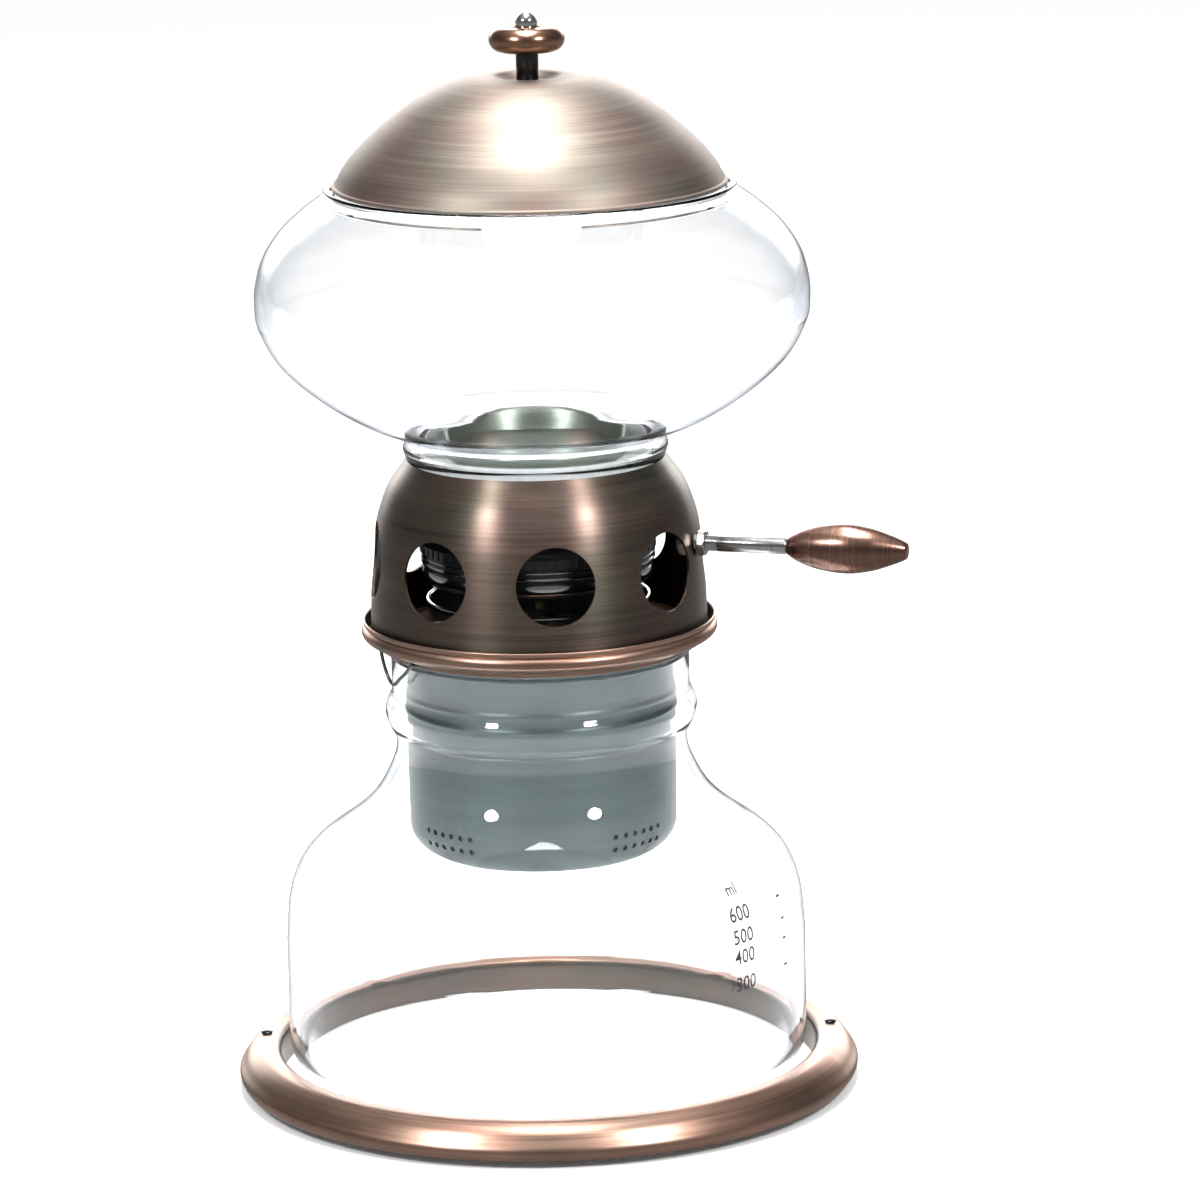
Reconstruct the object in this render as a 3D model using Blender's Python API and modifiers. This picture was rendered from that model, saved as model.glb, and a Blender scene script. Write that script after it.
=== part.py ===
"""Gravity slow-drip coffee maker: base ring, glass server, steel strainer, pierced copper
helmet with a side handle, glass water globe with a drip valve, and a domed copper lid.

Metres, +Z up. The origin is the centre of the underside, +X runs along the side handle.
Every turned piece is centred on the Z axis, which is also the axis of all the joints.
"""
import math

import bpy
import bmesh
from mathutils import Vector

MM = 0.001

# Driving dimensions, in millimetres.
GAP = 0.3                 # left between neighbouring pieces
BASE_R = 92.5             # outer radius of the base ring
BASE_TOP = 12.7           # height of the ring's flat top
RECESS_R = 79.8           # inner wall of the ring, round the server
PLATE_TOP = 2.1           # enamelled floor that the server stands on
SERVER_R = 77.2           # greatest radius of the server
NECK_R = 44.0             # outer radius of the server's neck
MOUTH_Z = 133.0           # height of the server's mouth
GLASS = 2.4               # thickness of the blown glass
STRAINER_R = 39.4         # strainer below its bead
STRAINER_Z = 71.0         # underside of the strainer
SHEET = 0.8               # thickness of the steel sheet
COLLAR_R = 52.5           # outer radius of the collar's bead
HELMET_R = 49.5           # outer radius of the helmet's straight foot
HELMET_Z = 136.8          # bottom edge of the helmet
HELMET_TOP = 189.6        # edge of the helmet's top opening
PORT_R = 11.5             # round ports in the helmet's side
PORT_Z = 160.3
PORTS = 8
HANDLE_Z = 165.3          # height of the handle's axis
HANDLE_END = 111.5        # reach of the handle from the axis
BOWL_R = 81.0             # greatest radius of the water globe
BOWL_Z = 237.0            # height of that radius
SHELF_Z = 184.5           # underside of the globe's glass bottom
CUP_TOP = 195.2           # rim of the valve cup, inside the globe's neck
RIM_Z = 270.3             # top of the globe's lip
LID_R = 57.7
DIAL_R = 35.0             # drip dial, turned through the ports
TOP_Z = 320.0             # top of the lid's finial
STEPS = 32                # facets round a large turned piece
SMALL_STEPS = 16          # facets round a small one

COPPER = (0.42, 0.20, 0.12)
DARK_COPPER = (0.22, 0.12, 0.08)
STEEL = (0.55, 0.58, 0.58)
DARK_STEEL = (0.10, 0.10, 0.11)
CLEAR = (0.85, 0.90, 0.92)
RUBBER = (0.03, 0.03, 0.03)
SILICONE = (0.75, 0.78, 0.78)
PLASTIC = (0.02, 0.02, 0.02)
ENAMEL = (0.90, 0.90, 0.90)


def collection(name):
    group = bpy.data.collections.get(name) or bpy.data.collections.new(name)
    if name not in bpy.context.scene.collection.children:
        bpy.context.scene.collection.children.link(group)
    return group


def material(name, colour, roughness, metallic=0.0, transmission=0.0):
    made = bpy.data.materials.new(name)
    made.use_nodes = True
    shader = made.node_tree.nodes["Principled BSDF"]
    shader.inputs["Base Color"].default_value = (*colour, 1.0)
    shader.inputs["Roughness"].default_value = roughness
    shader.inputs["Metallic"].default_value = metallic
    shader.inputs["Transmission Weight"].default_value = transmission
    return made


def glass(name):
    return material(name + "_glass", CLEAR, 0.03, transmission=0.9)


def arc(centre_r, centre_z, radius, start, end, count):
    """Points of a circular arc, in degrees from +R towards +Z."""
    points = []
    for i in range(count + 1):
        angle = math.radians(start + (end - start) * i / count)
        points.append((centre_r + radius * math.cos(angle), centre_z + radius * math.sin(angle)))
    return points


def curve_through(points, per_span):
    """A smooth curve through the points, with per_span short runs between two of them."""
    ends = [points[0], *points, points[-1]]
    path = []
    for a, b, c, d in zip(ends, ends[1:], ends[2:], ends[3:]):
        for i in range(per_span):
            t = i / per_span
            path.append(tuple(
                0.5 * (2 * b[k] + (c[k] - a[k]) * t
                       + (2 * a[k] - 5 * b[k] + 4 * c[k] - d[k]) * t * t
                       + (3 * b[k] - a[k] - 3 * c[k] + d[k]) * t ** 3)
                for k in range(len(b))))
    return path + [points[-1]]


def sheet(skin, thickness):
    """A closed outline: the outer skin, then the same line moved in by the thickness.

    The skin runs down the outer side, so its inner side is on the right of the run.
    """
    inner = []
    last = len(skin) - 1
    for i, (r, z) in enumerate(skin):
        before = Vector(skin[max(i - 1, 0)])
        after = Vector(skin[min(i + 1, last)])
        along = (after - before).normalized()
        inner.append((max(r + along.y * thickness, 0.0), z - along.x * thickness))
    return skin + inner[::-1]


def show(obj, group, surface):
    for old in list(obj.users_collection):
        old.objects.unlink(obj)
    group.objects.link(obj)
    obj.data.materials.clear()
    obj.data.materials.append(surface)


def smooth(mesh, angle=32):
    mesh.shade_smooth()
    mesh.set_sharp_from_angle(angle=math.radians(angle))


def solid_mesh(obj, weld=False):
    """Put the object's evaluated shape into its own mesh, without its modifiers."""
    depsgraph = bpy.context.evaluated_depsgraph_get()
    mesh = bpy.data.meshes.new_from_object(obj.evaluated_get(depsgraph))
    if weld:
        bm = bmesh.new()
        bm.from_mesh(mesh)
        bmesh.ops.remove_doubles(bm, verts=bm.verts, dist=0.01 * MM)
        bmesh.ops.recalc_face_normals(bm, faces=bm.faces)
        bm.to_mesh(mesh)
        bm.free()
    return mesh


def turned(name, outline, surface, steps=STEPS, place=(0, 0, 0), turn=(0, 0, 0)):
    """Turn an outline in millimetres about the Z axis with a Screw modifier.

    An outline that starts and ends on the axis stays open there, any other is a loop.
    """
    points = [(r * MM, 0.0, z * MM) for r, z in outline]
    edges = [(i, i + 1) for i in range(len(points) - 1)]
    if outline[0][0] > 0 or outline[-1][0] > 0:
        edges.append((len(points) - 1, 0))
    mesh = bpy.data.meshes.new(name + "_outline")
    mesh.from_pydata(points, edges, [])
    obj = bpy.data.objects.new(name, mesh)
    bpy.context.scene.collection.objects.link(obj)
    screw = obj.modifiers.new("turn", "SCREW")
    screw.steps = steps
    screw.render_steps = steps
    screw.use_merge_vertices = True
    screw.merge_threshold = 0.01 * MM
    screw.use_normal_calculate = False
    mesh = solid_mesh(obj)
    bpy.data.objects.remove(obj)
    obj = bpy.data.objects.new(name, mesh)
    mesh.name = name
    smooth(mesh)
    bpy.context.scene.collection.objects.link(obj)
    obj.location = [v * MM for v in place]
    obj.rotation_euler = turn
    show(obj, parts, surface)
    return obj


def cutter(name, shapes):
    """One hidden cutter made of round bars: (radius, length, centre, rotation, sides)."""
    bm = bmesh.new()
    for radius, length, centre, rotation, sides in shapes:
        bar = bmesh.ops.create_cone(
            bm, cap_ends=True, segments=sides, depth=length * MM,
            radius1=radius * MM, radius2=radius * MM)["verts"]
        bmesh.ops.rotate(bm, verts=bar, matrix=rotation.to_matrix())
        bmesh.ops.translate(bm, verts=bar, vec=Vector(centre) * MM)
    mesh = bpy.data.meshes.new(name)
    bm.to_mesh(mesh)
    bm.free()
    obj = bpy.data.objects.new(name, mesh)
    cutters.objects.link(obj)
    obj.hide_render = True
    obj.display_type = "WIRE"
    return obj


def cut(obj, tool):
    change = obj.modifiers.new("cut_" + tool.name, "BOOLEAN")
    change.operation = "DIFFERENCE"
    change.solver = "EXACT"
    change.object = tool


def radial(angle, distance, z):
    """A point at a compass angle round the axis, and the turn that lays a bar along it."""
    a = math.radians(angle)
    centre = (distance * math.cos(a), distance * math.sin(a), z)
    along = Vector((math.cos(a), math.sin(a), 0.0))
    return centre, along.to_track_quat("Z", "Y").to_euler()


UPRIGHT = Vector((0, 0, 1)).to_track_quat("Z", "Y").to_euler()


def hexagon(name, across, low, high, bore, surface, place=(0, 0, 0), turn=(0, 0, 0)):
    """A hexagon nut with a plain bore, standing on its own Z axis."""
    bm = bmesh.new()
    bmesh.ops.create_cone(
        bm, cap_ends=True, segments=6, depth=(high - low) * MM,
        radius1=across / math.sqrt(3) * MM, radius2=across / math.sqrt(3) * MM)
    bmesh.ops.translate(bm, verts=bm.verts, vec=(0, 0, (low + high) / 2 * MM))
    bmesh.ops.bevel(
        bm, geom=bm.edges[:], offset=0.25 * MM, segments=1, affect="EDGES", profile=0.5)
    mesh = bpy.data.meshes.new(name)
    bm.to_mesh(mesh)
    bm.free()
    obj = bpy.data.objects.new(name, mesh)
    show(obj, parts, surface)
    tool = cutter(name + "_bore", [(bore, (high - low) * 2, (0, 0, (low + high) / 2), UPRIGHT, 20)])
    for item in (obj, tool):
        item.location = [v * MM for v in place]
        item.rotation_euler = turn
    cut(obj, tool)
    return obj


def base():
    roll = arc(BASE_R - 6.0, 6.0, 6.0, 62, -36, 5)
    skin = ([(RECESS_R, PLATE_TOP + GAP), (RECESS_R, 11.0), (81.6, 12.4), (85.0, BASE_TOP), (88.0, 12.1)]
            + roll)
    ring = turned("base_ring", sheet(skin, 1.1), material("base_ring_copper", COPPER, 0.3, 1.0))
    rivet_r = 85.0
    rivet_angles = (21.0, 191.0)
    bars = [(1.6, 8.0, radial(a, rivet_r, BASE_TOP)[0], UPRIGHT, 12) for a in rivet_angles]
    cut(ring, cutter("rivet_holes", bars))
    rivet = [(0, 13.55), (1.2, 13.45), (1.9, 13.0), (1.25, 13.0), (1.25, 9.8), (0, 9.8)]
    dark = material("rivet_steel", DARK_STEEL, 0.4, 1.0)
    for i, angle in enumerate(rivet_angles):
        place = radial(angle, rivet_r, 0)[0]
        turned(f"base_rivet_{i + 1}", rivet, dark, 12, place)
    low = PLATE_TOP - 1.0
    turned("base_plate", [(0, PLATE_TOP), (84.1, PLATE_TOP), (84.4, low + 0.3), (84.1, low), (0, low)],
           material("base_plate_enamel", ENAMEL, 0.3))
    turned("base_pad", [(0, 0.8), (83.7, 0.8), (84.0, 0.5), (84.0, 0), (0, 0)],
           material("base_pad_rubber", RUBBER, 0.8))


def server():
    neck = [(NECK_R, 131.0), (NECK_R, 121.0)]
    waist = curve_through([(NECK_R, 121.0), (46.1, 114.8), (43.0, 104.8), (46.5, 94.0)], 2)
    shoulder = curve_through(
        [(46.5, 94.0), (53.4, 84.6), (63.5, 76.5), (71.6, 70.4), (75.9, 60.0), (SERVER_R, 46.0)], 1)
    corner = arc(64.7, 15.5, 12.5, 0, -80, 4)
    skin = ([(43.2, MOUTH_Z - 0.3)] + neck + waist[1:] + shoulder[1:] + [(SERVER_R, 16.5)] + corner
            + [(62.0, PLATE_TOP + GAP + 0.5), (50.0, 3.3), (0, 3.6)])
    shell = sheet(skin, GLASS)
    turned("server_glass", [(42.4, MOUTH_Z)] + shell, glass("server"))


def strainer():
    steel = material("strainer_steel", STEEL, 0.28, 1.0)
    wide = STRAINER_R + 0.2
    low = STRAINER_Z
    skin = [(45.4, MOUTH_Z + GAP), (41.2, MOUTH_Z + GAP), (wide, 132.0),
            (wide, 122.0), (wide + 0.4, 120.3), (wide, 118.0), (wide + 0.4, 115.6), (wide, 113.9),
            (wide, 109.4),
            (STRAINER_R, 108.0), (STRAINER_R, low + 9.0)]
    skin += arc(30.4, low + 9.0, 9.0, -30, -90, 2) + [(0, low)]
    cup = turned("strainer_cup", sheet(skin, SHEET), steel)
    bars = []
    for patch in range(4):
        for column in range(6):
            for row in range(2):
                angle = 286 + 45 + 90 * patch + (column - 2.5) * 5.1
                centre, turn = radial(angle, STRAINER_R, low + 6.0 + 4.0 * row + 0.7)
                bars.append((0.9, 5.0, centre, turn, 4))
    cut(cup, cutter("strainer_holes", bars))
    mesh_r = STRAINER_R - SHEET - 0.35
    band = [(mesh_r - 0.4, low + 16.0), (mesh_r, low + 16.0), (mesh_r, low + 9.0),
            (mesh_r - 1.3, low + 4.8), (mesh_r - 1.7, low + 4.8), (mesh_r - 0.4, low + 9.0)]
    turned("mesh_band", band, material("mesh_steel", DARK_STEEL, 0.5, 1.0))


def spreader():
    steel = material("spreader_steel", STEEL, 0.2, 1.0)
    low = MOUTH_Z + 2 * GAP + SHEET
    plate = turned("spreader_plate",
                   [(0, low + SHEET), (45.2, low + SHEET), (45.2, low), (0, low)], steel)
    bars = []
    for ring, count in ((9.0, 6), (18.0, 12), (27.0, 18)):
        for i in range(count):
            centre = radial(360 * i / count, ring, low)[0]
            bars.append((1.5, 5.0, centre, UPRIGHT, 6))
    cut(plate, cutter("spreader_holes", bars))
    foot = low + SHEET + GAP
    wall = [(32.4, 148.0), (33.3, 147.7), (33.4, 147.0), (33.0, 146.6), (33.0, foot + 1.0),
            (34.0, foot), (32.2, foot), (32.2, 147.0)]
    turned("splash_ring", wall, steel)


def helmet():
    copper = material("collar_copper", COPPER, 0.3, 1.0)
    floor = HELMET_Z - GAP
    loop = ([(37.5, floor), (50.0, floor), (50.9, floor + 1.0), (51.3, 141.4), (51.8, 142.0)]
            + [(52.2, 141.2)] + arc(COLLAR_R - 2.0, 138.4, 2.0, 35, -75, 4)
            + [(49.6, floor - 1.0), (46.7, floor - 1.0), (46.7, 133.5), (45.9, 133.5),
               (45.9, floor - 1.0), (37.5, floor - 1.0)])
    turned("collar_ring", loop, copper)
    skin = [(38.0, HELMET_TOP)] + curve_through(
        [(38.9, 188.3), (43.4, 182.0), (45.9, 176.0), (47.5, 170.0), (48.7, 160.0), (49.4, 150.0)], 1)
    skin += [(HELMET_R, 143.0), (HELMET_R, HELMET_Z)]
    shell = turned("helmet_shell", sheet(skin, 0.9), material("helmet_copper", DARK_COPPER, 0.35, 1.0))
    bars = []
    for i in range(PORTS):
        centre, turn = radial(360 / PORTS * (i + 0.5), 48.0, PORT_Z)
        bars.append((PORT_R, 16.0, centre, turn, 20))
    centre, turn = radial(0, 48.0, HANDLE_Z)
    bars.append((2.7, 16.0, centre, turn, 12))
    cut(shell, cutter("helmet_ports", bars))
    clip(copper)
    handle()


def clip(surface):
    """The bent wire clip that hangs from the collar, opposite the handle."""
    route = [(209.5, 48.0, 134.6), (210.0, 47.4, 131.0), (211.0, 46.4, 127.4), (215.0, 45.9, 125.2),
             (221.0, 45.9, 126.2), (228.0, 46.2, 130.0), (236.0, 48.0, 134.6)]
    path = [(r * math.cos(math.radians(a)), r * math.sin(math.radians(a)), z)
            for a, r, z in curve_through(route, 2)]
    wire = bpy.data.curves.new("wire_clip", "CURVE")
    wire.dimensions = "3D"
    wire.bevel_depth = 0.6 * MM
    wire.bevel_resolution = 1
    wire.use_fill_caps = True
    spline = wire.splines.new("POLY")
    spline.points.add(len(path) - 1)
    for point, place in zip(spline.points, path):
        point.co = (*(v * MM for v in place), 1.0)
    drawn = bpy.data.objects.new("wire_clip_path", wire)
    bpy.context.scene.collection.objects.link(drawn)
    mesh = solid_mesh(drawn, weld=True)
    bpy.data.objects.remove(drawn)
    smooth(mesh)
    obj = bpy.data.objects.new("wire_clip", mesh)
    mesh.name = "wire_clip"
    show(obj, parts, material("clip_steel", STEEL, 0.25, 1.0))


def handle():
    """Rod, spindle grip and the two nuts that clamp the rod to the helmet's wall."""
    place = (0, 0, HANDLE_Z)
    along_x = (0, math.radians(90), 0)
    steel = material("handle_steel", STEEL, 0.25, 1.0)
    hexagon("handle_nut", 7.0, 48.8, 51.4, 2.7, steel, place, along_x)
    hexagon("handle_inner_nut", 7.0, 43.4, 46.0, 2.7, steel, place, along_x)
    rod = [(0, 88.0), (1.2, 87.6), (1.2, 75.5), (2.1, 75.5), (2.4, 75.1), (2.4, 43.0), (2.0, 42.6),
           (0, 42.6)]
    turned("handle_rod", rod, steel, 16, place, along_x)
    grip_skin = curve_through(
        [(2.5, 110.9), (4.4, 107.5), (6.5, 101.0), (7.3, 93.5), (6.6, 86.0), (4.6, 79.6), (2.6, 76.2)], 2)
    grip = ([(0, HANDLE_END), (1.7, HANDLE_END)] + grip_skin + [(2.2, 75.8), (1.5, 75.8), (1.5, 88.6)]
            + [(0, 88.9)])
    turned("handle_grip", grip, material("grip_copper", COPPER, 0.2, 1.0), SMALL_STEPS, place, along_x)


def water_bowl():
    bead = [(38.6, 195.8), (38.9, 193.4), (38.5, 190.9), (37.6, HELMET_TOP + GAP), (36.6, HELMET_TOP)]
    lower = curve_through([(BOWL_R, BOWL_Z), (79.9, 229.5), (74.3, 219.5), (63.6, 210.0),
                           (52.0, 202.8), (41.6, 198.0)], 1)
    upper = curve_through([(61.0, 266.9), (67.4, 262.8), (73.8, 257.0), (78.6, 249.4),
                           (BOWL_R, BOWL_Z)], 1)
    lip = [(59.4, RIM_Z), (60.1, 269.8), (59.2, 268.5), (58.7, 267.6)]
    skin = upper + lower[1:] + bead + [(36.6, 187.0), (35.2, 184.9), (33.5, SHELF_Z), (9.6, SHELF_Z)]
    inner = sheet(skin, GLASS)[len(skin):]
    mouth = [(57.4, 265.8), (56.6, 267.2), (57.6, 268.9)]
    turned("bowl_glass", lip + skin + inner[:-1] + mouth, glass("bowl"))


def valve():
    steel = material("valve_steel", STEEL, 0.22, 1.0)
    silicone = material("gasket_silicone", SILICONE, 0.5)
    shelf_top = SHELF_Z + GLASS
    gasket_top = shelf_top + GAP + 1.2
    floor = gasket_top + GAP
    cup = [(26.4, CUP_TOP), (27.4, CUP_TOP - 0.2), (27.4, CUP_TOP - 1.0), (26.8, CUP_TOP - 1.4),
           (25.2, floor + 0.8), (24.4, floor), (8.2, floor), (8.2, 166.4), (7.8, 166.0), (1.6, 166.0),
           (1.6, floor + 0.9), (23.8, floor + 0.9), (24.4, floor + 1.6), (25.9, CUP_TOP - 0.8)]
    turned("valve_cup", cup, steel)
    ring = [(8.8, gasket_top), (31.0, gasket_top), (31.0, shelf_top + GAP), (8.8, shelf_top + GAP)]
    turned("cup_gasket", ring, silicone, SMALL_STEPS)
    under = SHELF_Z - GAP
    ring = [(8.8, under), (16.0, under), (16.0, under - 1.2), (8.8, under - 1.2)]
    turned("lower_gasket", ring, silicone, SMALL_STEPS)
    hexagon("valve_nut", 30.0, 176.4, under - 1.2 - GAP, 8.6, steel)


def drip_dial():
    plastic = material("dial_plastic", PLASTIC, 0.3)
    dial = [(8.6, 175.6), (11.6, 175.6), (12.0, 175.2), (12.0, 169.2), (33.4, 166.8), (DIAL_R, 165.2),
            (DIAL_R, 155.4), (33.0, 153.4), (3.3, 153.4), (3.3, 156.0), (1.6, 156.0), (1.6, 163.0),
            (8.6, 163.0)]
    dial_obj = turned("drip_dial", dial, plastic)
    grips = [(1.5, 24.0, radial(45 * i, DIAL_R + 0.9, 160.0)[0], UPRIGHT, 6) for i in range(8)]
    cut(dial_obj, cutter("dial_grips", grips))
    nozzle = [(1.0, 155.6), (3.0, 155.6), (3.0, 148.6), (1.7, 143.5), (1.0, 143.5)]
    turned("drip_nozzle", nozzle, material("nozzle_brass", (0.6, 0.45, 0.2), 0.3, 1.0), 12)


def lid():
    copper = material("lid_copper", COPPER, 0.3, 1.0)
    dish = 299.8
    skin = [(2.7, dish), (6.3, dish), (8.8, dish + 1.2), (11.6, dish + 1.8)]
    skin += curve_through([(18.6, 300.7), (26.0, 298.2), (33.6, 294.2), (42.0, 288.0), (49.3, 281.4),
                           (54.0, 275.8), (57.2, 270.6)], 1)
    skin += [(LID_R, 270.0), (57.5, 269.4)]
    turned("lid_dome", sheet(skin, 1.0), copper)
    dark = material("stem_steel", DARK_STEEL, 0.25, 1.0)
    stem_top = 308.3
    stem = [(0, 301.6), (1.5, 302.0), (1.5, stem_top), (3.1, stem_top), (3.25, stem_top - 0.2),
            (3.25, dish + GAP), (2.4, dish + GAP), (2.4, 293.3), (2.1, 293.0), (0, 293.0)]
    turned("knob_stem", stem, dark, SMALL_STEPS)
    turned("lid_washer", [(2.7, 298.4), (6.0, 298.4), (6.0, 297.6), (2.7, 297.6)], dark, SMALL_STEPS)
    hexagon("lid_nut", 8.0, 294.2, 297.3, 2.7, dark)
    knob_low = stem_top + GAP
    knob_mid = knob_low + 3.6
    knob = ([(1.5, knob_low + 6.4), (4.0, knob_low + 6.4), (6.0, knob_low + 7.0)]
            + arc(7.4, knob_mid, 3.6, 80, -80, 8) + [(6.0, knob_low), (1.5, knob_low)])
    turned("lid_knob", knob, copper, SMALL_STEPS)
    seat = knob_low + 6.4 + GAP
    finial = ([(0, TOP_Z)] + arc(0, TOP_Z - 3.2, 3.2, 62, 0, 3) + [(3.2, seat + 0.2), (3.0, seat)]
              + [(1.2, seat), (1.2, 303.2), (0, 303.0)])
    turned("knob_finial", finial, material("finial_chrome", STEEL, 0.08, 1.0), SMALL_STEPS)


for old_object in list(bpy.data.objects):
    bpy.data.objects.remove(old_object, do_unlink=True)
parts = collection("slow_drip_coffee_maker")
cutters = collection("cutters")
base()
server()
strainer()
spreader()
helmet()
water_bowl()
valve()
drip_dial()
lid()
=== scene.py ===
import math

import bmesh
import bpy
from mathutils import Matrix, Vector


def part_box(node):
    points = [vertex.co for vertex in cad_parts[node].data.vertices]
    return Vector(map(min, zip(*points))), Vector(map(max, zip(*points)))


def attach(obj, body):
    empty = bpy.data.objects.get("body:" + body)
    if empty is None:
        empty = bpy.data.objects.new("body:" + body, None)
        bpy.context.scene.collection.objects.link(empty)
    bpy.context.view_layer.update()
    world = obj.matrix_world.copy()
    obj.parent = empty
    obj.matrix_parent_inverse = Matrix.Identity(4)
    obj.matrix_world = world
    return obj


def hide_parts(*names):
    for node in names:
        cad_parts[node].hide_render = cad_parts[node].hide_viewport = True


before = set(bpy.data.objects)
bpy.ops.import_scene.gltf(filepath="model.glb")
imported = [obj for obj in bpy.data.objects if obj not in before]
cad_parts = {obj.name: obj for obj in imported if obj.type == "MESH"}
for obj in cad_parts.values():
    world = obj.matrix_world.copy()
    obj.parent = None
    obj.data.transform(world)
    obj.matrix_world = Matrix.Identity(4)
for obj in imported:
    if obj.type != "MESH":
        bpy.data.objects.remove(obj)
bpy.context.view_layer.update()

# A gravity slow-drip coffee maker, nearly all turned. An outline is a list of points in
# millimetres: distance from the piece's own axis, and height along it.

MM = 0.001
ROUND = 128              # facets round a large turned piece
FINE = 48                # facets round a small one
FRONT = -74.0            # compass angle from the axis towards the camera, in degrees
GLASS = 2.4              # wall of both glass vessels
BASE_SHEET = 1.1         # wall of the spun base ring
STRAINER_SHEET = 0.8     # wall of the strainer
COPPER_SHEET = 0.9       # wall of the helmet and the lid
BAND_DEPTH = 0.9         # how far the dial's chrome bands bulge
PRINT_LIFT = 0.06        # height of the printed scale above the glass
PORTS = 8                # round ports in the helmet
PORT_R, PORT_Z = 11.5, 160.3
SERVER_NECK = 44.0       # outer radius of the server's mouth
SERVER_LIP = 1.2         # radius of its rounded lip


# ---------------------------------------------------------------- outlines and turned pieces

def edge(node, side):
    """One edge of a CAD node's box, in millimetres: r (outer radius), low or high."""
    low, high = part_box(node)
    return {"r": high.y, "low": low.z, "high": high.z}[side] / MM


def middle(node):
    """The middle of a CAD node's box, in metres."""
    low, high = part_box(node)
    return (low + high) / 2


def arc(centre_r, centre_z, radius, start, end, count=10):
    """Points of a circular arc, in degrees from outwards towards up."""
    angles = [math.radians(start + (end - start) * i / count) for i in range(count + 1)]
    return [(centre_r + radius * math.cos(a), centre_z + radius * math.sin(a)) for a in angles]


def curve(points, per_span=8):
    """A smooth curve through the points (Catmull-Rom, with spacing taken into account)."""
    ends = [points[0], *points, points[-1]]
    path = []
    for a, b, c, d in zip(ends, ends[1:], ends[2:], ends[3:]):
        a, b, c, d = Vector(a), Vector(b), Vector(c), Vector(d)
        span = (c - b).length
        m1 = (c - a) / max((b - a).length + span, 1e-6) * span
        m2 = (d - b) / max((d - c).length + span, 1e-6) * span
        for i in range(per_span):
            t = i / per_span
            t2, t3 = t * t, t * t * t
            path.append(tuple((2 * t3 - 3 * t2 + 1) * b + (t3 - 2 * t2 + t) * m1
                              + (3 * t2 - 2 * t3) * c + (t3 - t2) * m2))
    return path + [tuple(points[-1])]


def rounded(points, radius=0.3, closed=True):
    """The outline with its corners rounded; a point on the axis stays as it is."""
    path = []
    count, steps = len(points), 4
    for i, point in enumerate(points):
        if not closed and i in (0, count - 1):
            path.append(point)
            continue
        here = Vector(point)
        back, ahead = Vector(points[i - 1]) - here, Vector(points[(i + 1) % count]) - here
        turn = back.angle(-ahead, 0.0)
        if here.x < 1e-6 or turn < math.radians(12):
            path.append(point)
            continue
        reach = min(radius * math.tan(min(turn, 2.8) / 2), back.length * 0.45, ahead.length * 0.45)
        start, end = here + back.normalized() * reach, here + ahead.normalized() * reach
        for k in range(steps + 1):
            t = k / steps
            path.append(tuple(start * (1 - t) ** 2 + here * 2 * t * (1 - t) + end * t * t))
    return path


def sheet(skin, thickness):
    """A closed outline: the skin, then the same line one thickness to the right of its run."""
    inner = []
    for i, (r, z) in enumerate(skin):
        along = Vector(skin[min(i + 1, len(skin) - 1)]) - Vector(skin[max(i - 1, 0)])
        along.normalize()
        inside = max(r + along.y * thickness, 0.0) if r > 1e-6 else 0.0
        inner.append((inside, z - along.x * thickness))
    return skin + inner[::-1]


def thread(crest, root, start, pitch, turns):
    """A screw thread as turned grooves, running down from start."""
    points = []
    for i in range(turns):
        z = start - i * pitch
        points += [(crest, z), (root, z - pitch / 2)]
    return points


def add(name, mesh, surface, body, nodes=(), sharp=38):
    """Put a mesh in the scene as a piece that rides on a body and stands for CAD nodes."""
    obj = bpy.data.objects.new(name, mesh)
    mesh.name = name
    bpy.context.scene.collection.objects.link(obj)
    mesh.materials.clear()
    mesh.materials.append(surface)
    mesh.shade_smooth()
    mesh.set_sharp_from_angle(angle=math.radians(sharp))
    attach(obj, body)
    if nodes:
        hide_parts(*nodes)
    return obj


def turned_mesh(outline, segments=ROUND):
    """Turn an outline in millimetres about Z; each point keeps its run along the outline."""
    bm = bmesh.new()
    run_layer = bm.verts.layers.float.new("run")
    run = 0.0
    rings = []
    for i, (r, z) in enumerate(outline):
        if i:
            run += (Vector(outline[i]) - Vector(outline[i - 1])).length * MM
        count = 1 if r < 1e-6 else segments
        ring = []
        for k in range(count):
            angle = 2 * math.pi * k / segments
            vert = bm.verts.new((r * MM * math.cos(angle), r * MM * math.sin(angle), z * MM))
            vert[run_layer] = run
            ring.append(vert)
        rings.append(ring)
    pairs = list(zip(rings, rings[1:]))
    if outline[0][0] > 1e-6 and outline[-1][0] > 1e-6:
        pairs.append((rings[-1], rings[0]))
    for upper, lower in pairs:
        for k in range(segments):
            n = (k + 1) % segments
            corners = [upper[k % len(upper)], lower[k % len(lower)],
                       lower[n % len(lower)], upper[n % len(upper)]]
            corners = list(dict.fromkeys(corners))
            if len(corners) > 2:
                bm.faces.new(corners)
    bmesh.ops.recalc_face_normals(bm, faces=bm.faces)
    mesh = bpy.data.meshes.new("turned")
    bm.to_mesh(mesh)
    bm.free()
    return mesh


def turned(name, outline, surface, body, nodes=(), segments=ROUND, place=None):
    """Turn an outline about Z, move it to its place and add it as a piece."""
    mesh = turned_mesh(outline, segments)
    if place is not None:
        mesh.transform(place)
    return add(name, mesh, surface, body, nodes)


def bar(radius, length, place, sides=64):
    """A hidden round bar that cuts a hole."""
    bm = bmesh.new()
    bmesh.ops.create_cone(bm, cap_ends=True, segments=sides, depth=length * MM,
                          radius1=radius * MM, radius2=radius * MM, matrix=place)
    return bm


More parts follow.
